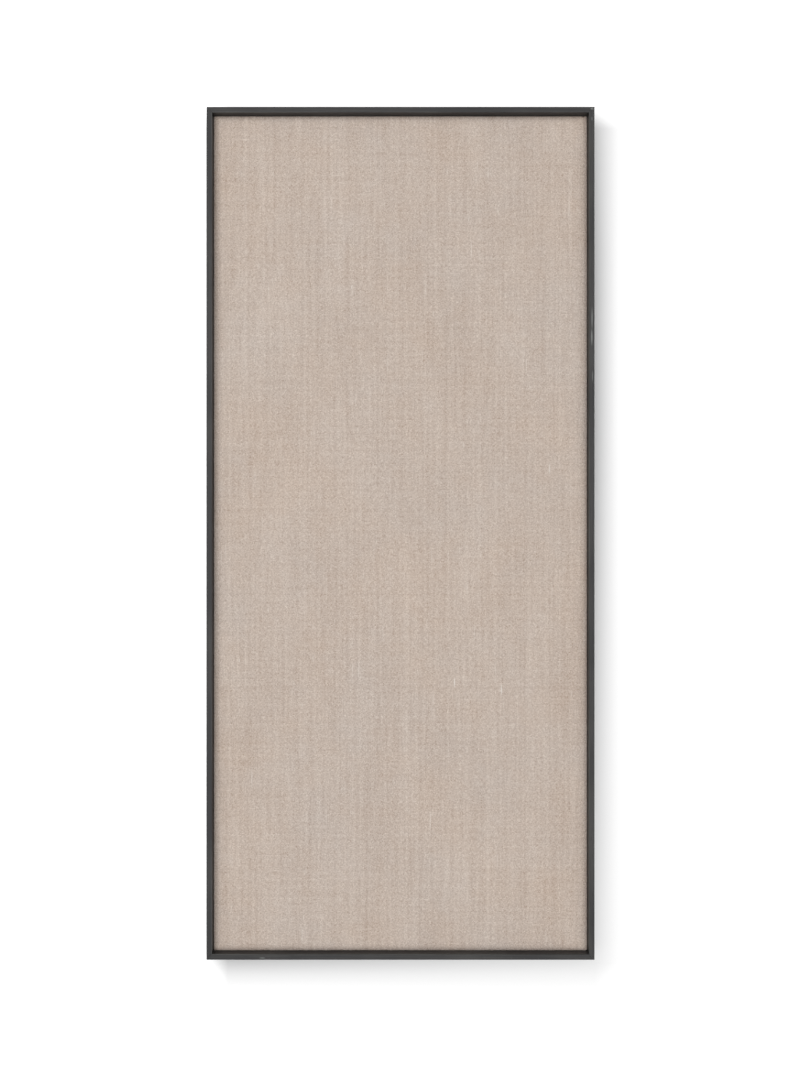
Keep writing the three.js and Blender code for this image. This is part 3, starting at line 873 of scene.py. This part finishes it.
def dRings():
    for side in sideNames:
        node = side + "_hanger_ring"
        low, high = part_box(node)
        wire = (high.y - low.y) / 2
        arm = (high.x - low.x) / 2 - wire
        bend, down = ring["bend"], ring["armLength"]
        bm = bmesh.new()
        bmesh.ops.create_circle(bm, segments=ring["wireSides"], radius=wire, cap_ends=True)
        bmesh.ops.rotate(bm, matrix=Matrix.Rotation(math.pi / 2, 3, "Y"), verts=bm.verts)
        bmesh.ops.translate(bm, vec=(ring["endGap"] / 2, 0, 0), verts=bm.verts)
        start = [e for e in bm.edges if e.is_boundary]
        sweep(bm, start, [
            {"run": (arm - bend - ring["endGap"] / 2, 0, 0)},
            {"about": (arm - bend, 0, -bend), "turn": math.pi / 2, "steps": ring["bendSteps"]},
            {"run": (0, 0, bend - down)},
            {"about": (0, 0, -down), "turn": math.pi, "steps": ring["roundSteps"]},
            {"run": (0, 0, down - bend)},
            {"about": (bend - arm, 0, -bend), "turn": math.pi / 2, "steps": ring["bendSteps"]},
            {"run": (arm - bend - ring["endGap"] / 2, 0, 0)},
        ])
        bmesh.ops.holes_fill(bm, edges=[e for e in bm.edges if e.is_boundary])
        closeUp(bm)
        axis = Vector(((low.x + high.x) / 2, (low.y + high.y) / 2, high.z - wire))
        bmesh.ops.translate(bm, vec=axis, verts=bm.verts)
        piece = finishPiece(bm, side + "DRing", zincPlate, side + "_ring", node)
        smoothByAngle(piece, ring["sharpAngle"])


# Hanger straps: a strip with one round end, curled over at the other to hold the ring
strap = {
    "thickness": 0.8 * mm,
    "curlTurn": 205,             # in degrees
    "curlSteps": 18,
    "edge": 0.15 * mm,
    "roundSteps": 12,
    "cornerAngle": 60,           # edges steeper than this are bevelled
    "sharpAngle": 40,
}


def hangerStraps():
    for side in sideNames:
        node = side + "_hanger_strap"
        low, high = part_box(node)
        ringLow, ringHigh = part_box(side + "_hanger_ring")
        axisY, axisZ = (ringLow.y + ringHigh.y) / 2, ringHigh.z - (ringHigh.y - ringLow.y) / 2
        thick, half = strap["thickness"], (high.x - low.x) / 2
        outer = axisY - low.y
        inner = outer - thick
        length = axisZ - low.z
        curl = outer * (math.radians(strap["curlTurn"]) + math.pi / 2)
        bm = bmesh.new()
        bmesh.ops.create_circle(bm, segments=4 * strap["roundSteps"], radius=half, cap_ends=True)
        bmesh.ops.rotate(bm, matrix=Matrix.Rotation(math.pi / 2, 3, "X"), verts=bm.verts)
        bmesh.ops.translate(bm, vec=(0, 0, half - length), verts=bm.verts)
        # The round's upper half is drawn out to the strip's full length
        upper = [v for v in bm.verts if v.co.z > half - length + touch]
        bmesh.ops.delete(bm, geom=upper, context="VERTS")
        ends = sorted((v for v in bm.verts if v.co.z > half - length - touch), key=lambda v: v.co.x)
        tops = [bm.verts.new((v.co.x, 0, curl)) for v in (ends[0], ends[-1])]
        outline = sorted(bm.verts, key=lambda v: math.atan2(v.co.z - half + length - mm, v.co.x))
        bm.faces.new([*[v for v in outline if v not in tops], tops[1], tops[0]])
        piece = bendStrap(bm, side, node, curl, inner, outer, Vector(((low.x + high.x) / 2, axisY, axisZ)))
        smoothByAngle(piece, strap["sharpAngle"])


def bendStrap(bm, side, node, curl, inner, outer, axis):
    cuts(bm, 2, evenPlaces(0, curl, curl / strap["curlSteps"])[:-1])
    bmesh.ops.recalc_face_normals(bm, faces=bm.faces)
    bm.normal_update()
    if bm.faces[0].normal.y > 0:
        bmesh.ops.reverse_faces(bm, faces=bm.faces)
    bmesh.ops.solidify(bm, geom=bm.faces[:], thickness=outer - inner)
    thickLow = min(v.co.y for v in bm.verts)
    for vert in bm.verts:
        proud = vert.co.y - thickLow          # 0 on the face against the frame, and the thickness outside
        radius = outer - proud
        past = vert.co.z
        if past <= 0:
            vert.co.y = -radius
            continue
        angle = past / outer - math.pi / 2
        vert.co.y = radius * math.sin(angle)
        vert.co.z = radius * math.cos(angle)
    closeUp(bm)
    corners = [e for e in bm.edges if e.calc_face_angle(0) > math.radians(strap["cornerAngle"])]
    bmesh.ops.bevel(
        bm, geom=corners, offset=strap["edge"], affect="EDGES",
        segments=2, profile=0.5, material=-1,
    )
    bmesh.ops.translate(bm, vec=axis, verts=bm.verts)
    return finishPiece(bm, side + "HangerStrap", zincPlate, "board", node)


# Rubber bumpers
bumper = {
    "steps": 40,
    "rim": 0.8 * mm,
    "rimSteps": 4,
    "dish": 0.25 * mm,
    "taper": 1 * mm,             # how much narrower the face is than the base, at each side
    "sharpAngle": 40,
}


def bumpers():
    for side in sideNames:
        node = side + "_bumper"
        low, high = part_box(node)
        base, face, rim = (high.x - low.x) / 2, high.y, bumper["rim"]
        top = base - bumper["taper"]
        rounded = []
        for i in range(bumper["rimSteps"] + 1):
            angle = math.pi / 2 * (1 - i / bumper["rimSteps"])
            rounded.append((top - rim + rim * math.cos(angle), face - rim + rim * math.sin(angle)))
        dished = [(0, face - bumper["dish"]), (top - 2 * rim, face)]
        bm = turned([*dished, *rounded, (base, low.y), (0, low.y)], bumper["steps"])
        middle = (low + high) / 2
        bmesh.ops.translate(bm, vec=(middle.x, 0, middle.z), verts=bm.verts)
        piece = finishPiece(bm, side + "Bumper", blackRubber, "board", node)
        smoothByAngle(piece, bumper["sharpAngle"])


linenSheet()
print("linen sheet made")
panelScrews()
hangerScrews()
staples()
print("screws and staples made")
dRings()
hangerStraps()
bumpers()
print("hangers and bumpers made")

cadFinishes = {
    **mouldingWood,
    "softboard_core": softboardFibre,
    "backing_board": hardboardFace,
    **{name: brightWire for name in nodes if "_v_nail_" in name},
}
for name, finish in cadFinishes.items():
    nodes[name].material_slots[0].material = finish
print("finishes assigned")


# Camera, straight in front and so far away that the board is as large as in the photograph. The lens is
# assumed.
photo = {"width": 800, "height": 1067, "left": 206.67, "right": 594.32, "top": 106.72, "bottom": 959.93}
view = {"lens": 40, "sensor": 36}


def straightOn():
    perPixel = (cadHigh.z - cadLow.z) / (photo["bottom"] - photo["top"])
    distance = photo["height"] * perPixel * view["lens"] / view["sensor"]
    aside = (photo["width"] - photo["left"] - photo["right"]) / 2 * perPixel
    above = (photo["top"] + photo["bottom"] - photo["height"]) / 2 * perPixel
    data = bpy.data.cameras.new("straight on")
    data.lens = view["lens"]
    data.sensor_width = view["sensor"]
    camera = bpy.data.objects.new("straight on", data)
    camera.location = (aside, cadLow.y - distance, above)
    camera.rotation_euler = (math.pi / 2, 0, 0)
    bpy.context.scene.collection.objects.link(camera)
    bpy.context.scene.camera = camera


# Light: a wide soft panel in front, a little to the left, one behind for views of the back, and an even dome.
# The front panel and the dome together light a surface that faces the camera so that its colour renders as
# written.
light = {
    "domeShare": 0.3,
    "frontShare": 0.7,
    "frontMiddle": (-0.6, -3, 0.1),
    "frontSize": (5, 4.4),
    "backShare": 0.5,
    "backMiddle": (0.5, 3, 0.3),
    "backSize": (4, 4),
    "wallColour": "#e3e3e3",
    "glowGain": 0.01 / mm,       # how fast the wall brightens with the distance from the board's shadow
    "edgeGain": 0.019 / mm,      # and towards the left and the top, where the painted glow hides the shadow
    "besideStart": 5.6 * mm,
    "belowStart": 15.5 * mm,
    "aboveStart": 15 * mm,
    "leftStart": 20.5 * mm,
    "thinning": (0.5, 0.8),      # how fast the shadow thins out across and down, as shares of the board
    "thinStart": 0.81,
    "shadowKept": 0.51,          # how much of it is left at the lower right corner
    "topKept": 0.83,             # and at the upper end, where it begins
    "topShare": 0.18,
    "floorColour": "#8f8f8e",
    "floorGlow": 0.72,
    "floorDrop": 1.7,            # below the front panel, which would else cut the floor in two
    "floorFade": (1, 3),         # how far out the floor begins to whiten, and ends
    "stageSize": 10,
}


def quarterView(wide, high, away):
    # Share of the light of a whole sky that a panel gives to a surface facing its corner
    total = 0
    for a, b in ((wide, high), (high, wide)):
        slant = math.hypot(a, away)
        total += a / slant * math.atan(b / slant)
    return total / math.tau


def softPanel(name, middle, size, share):
    # Level with the wall. Its power follows from the share of full light that it gives at the board.
    x, y, z = middle
    wide, high = size
    reaches = [(wide / 2 + sx * x, high / 2 + sz * z) for sx in (-1, 1) for sz in (-1, 1)]
    seen = sum(quarterView(a, b, abs(y)) for a, b in reaches)
    data = bpy.data.lights.new(name, "AREA")
    data.shape = "RECTANGLE"
    data.size, data.size_y = wide, high
    data.energy = share / seen * math.pi * wide * high
    lamp = bpy.data.objects.new(name, data)
    lamp.location = middle
    lamp.rotation_euler = (math.copysign(math.pi / 2, -y), 0, 0)
    lamp.visible_camera = False
    bpy.context.scene.collection.objects.link(lamp)


def evenDome():
    world = bpy.data.worlds.new("even dome")
    bpy.context.scene.world = world
    world.use_nodes = True
    tree = world.node_tree
    path = addNode(tree, "LightPath").outputs
    seen = addNode(tree, "Math", [path["Is Camera Ray"], path["Is Glossy Ray"]], operation="MAXIMUM")
    seen = addNode(tree, "Math", [seen, path["Is Transmission Ray"]], operation="MAXIMUM")
    strength = addNode(tree, "MapRange", [seen, 0, 1, light["domeShare"], 1])
    tree.links.new(strength.outputs[0], tree.nodes["Background"].inputs["Strength"])
    tree.nodes["Background"].inputs["Color"].default_value = (1, 1, 1, 1)


def beyond(tree, at, start, gain):
    # How much a coordinate has passed a place, times a gain, which may be negative to look the other way
    past = addNode(tree, "Math", [at, start], operation="SUBTRACT")
    past = addNode(tree, "Math", [past, gain], operation="MULTIPLY")
    return addNode(tree, "Math", [past, 0], operation="MAXIMUM")


def wallLook(tree):
    # The wall's glow is painted light: it whitens the wall away from the board's shadow, hides that shadow to
    # the left and above so that it shows only to the right and below, and thins it out towards the lower
    # right corner
    axes = addNode(tree, "SeparateXYZ", [addNode(tree, "TexCoord").outputs["Object"]]).outputs
    x, z = axes["X"], axes["Z"]
    gain, edgeGain = light["glowGain"], light["edgeGain"]
    glow = 0
    for at, start, rise in (
        (x, cadHigh.x + light["besideStart"], gain),
        (z, cadLow.z - light["belowStart"], -gain),
        (z, cadHigh.z - light["aboveStart"], edgeGain),
        (x, cadLow.x + light["leftStart"], -edgeGain),
    ):
        glow = addNode(tree, "Math", [glow, beyond(tree, at, start, rise)], operation="ADD")
    across = addNode(tree, "Math", [x, cadLow.x], operation="SUBTRACT")
    across = addNode(tree, "Math", [across, cadHigh.x - cadLow.x], operation="DIVIDE")
    down = addNode(tree, "Math", [cadHigh.z, z], operation="SUBTRACT")
    down = addNode(tree, "Math", [down, cadHigh.z - cadLow.z], operation="DIVIDE")
    perAcross, perDown = light["thinning"]
    corner = addNode(tree, "Math", [down, perDown], operation="MULTIPLY")
    corner = addNode(tree, "Math", [across, perAcross, corner], operation="MULTIPLY_ADD")
    thinEnds = (light["thinStart"], perAcross + perDown)
    thin = addNode(tree, "MapRange", [corner, *thinEnds, 1, light["shadowKept"]])
    begun = addNode(tree, "MapRange", [down, 0, light["topShare"], light["topKept"], 1])
    kept = addNode(tree, "Math", [thin, begun], operation="MULTIPLY")
    return whitened(tree, kept, light["wallColour"], glow)


def floorLook(tree):
    # Pale under the board, and white further out, so that the floor has no edge
    axes = addNode(tree, "SeparateXYZ", [addNode(tree, "TexCoord").outputs["Object"]]).outputs
    squares = [addNode(tree, "Math", [axes[axis], 2], operation="POWER") for axis in ("X", "Y")]
    away = addNode(tree, "Math", squares, operation="ADD")
    away = addNode(tree, "Math", [away], operation="SQRT")
    kept = addNode(tree, "MapRange", [away, *light["floorFade"], 1, 0])
    return whitened(tree, kept, light["floorColour"], light["floorGlow"])


def whitened(tree, kept, hexCode, glow):
    # A colour and its glow where kept is 1, which fade to a full white glow where it is 0
    colour = addNode(tree, "MixRGB", [kept, (0, 0, 0, 1), fromHex(hexCode)])
    faded = addNode(tree, "Math", [1, kept], operation="SUBTRACT")
    glow = addNode(tree, "Math", [glow, kept, faded], operation="MULTIPLY_ADD")
    return colour, addNode(tree, "Math", [glow, 1], operation="MINIMUM")


def stageFinish(name, look):
    # Shows only its front side, and only to the camera: light passes, and a view from behind is free
    material = bpy.data.materials.new(name)
    material.use_nodes = True
    tree = material.node_tree
    tree.nodes.clear()
    colour, glow = look(tree)
    path = addNode(tree, "LightPath").outputs["Is Camera Ray"]
    behind = addNode(tree, "NewGeometry").outputs["Backfacing"]
    facing = addNode(tree, "Math", [1, behind], operation="SUBTRACT")
    shown = addNode(tree, "Math", [path, facing], operation="MULTIPLY")
    matt = addNode(tree, "BsdfDiffuse", {"Color": colour})
    glowing = addNode(tree, "Emission", {"Strength": glow})
    both = addNode(tree, "AddShader", [matt, glowing])
    clear = addNode(tree, "BsdfTransparent")
    mixed = addNode(tree, "MixShader", [shown, clear, both])
    addNode(tree, "OutputMaterial", {"Surface": mixed})
    return material


def stagePlane(name, finish, turn, place):
    bm = bmesh.new()
    bmesh.ops.create_grid(bm, x_segments=1, y_segments=1, size=light["stageSize"] / 2)
    bmesh.ops.rotate(bm, matrix=Matrix.Rotation(turn, 3, "X"), verts=bm.verts)
    bmesh.ops.translate(bm, vec=place, verts=bm.verts)
    mesh = bpy.data.meshes.new(name)
    bm.to_mesh(mesh)
    bm.free()
    mesh.materials.append(finish)
    plane = bpy.data.objects.new(name, mesh)
    bpy.context.scene.collection.objects.link(plane)


def stage():
    floorHeight = cadLow.z - light["floorDrop"]
    wallMiddle = (0, cadHigh.y, floorHeight + light["stageSize"] / 2)
    stagePlane("wall", stageFinish("white wall", wallLook), math.pi / 2, wallMiddle)
    stagePlane("floor", stageFinish("pale floor", floorLook), 0, (0, 0, floorHeight))


straightOn()
softPanel("front panel", light["frontMiddle"], light["frontSize"], light["frontShare"])
softPanel("back panel", light["backMiddle"], light["backSize"], light["backShare"])
evenDome()
stage()
bpy.context.scene.view_settings.view_transform = "Standard"
print("camera, light and stage set")
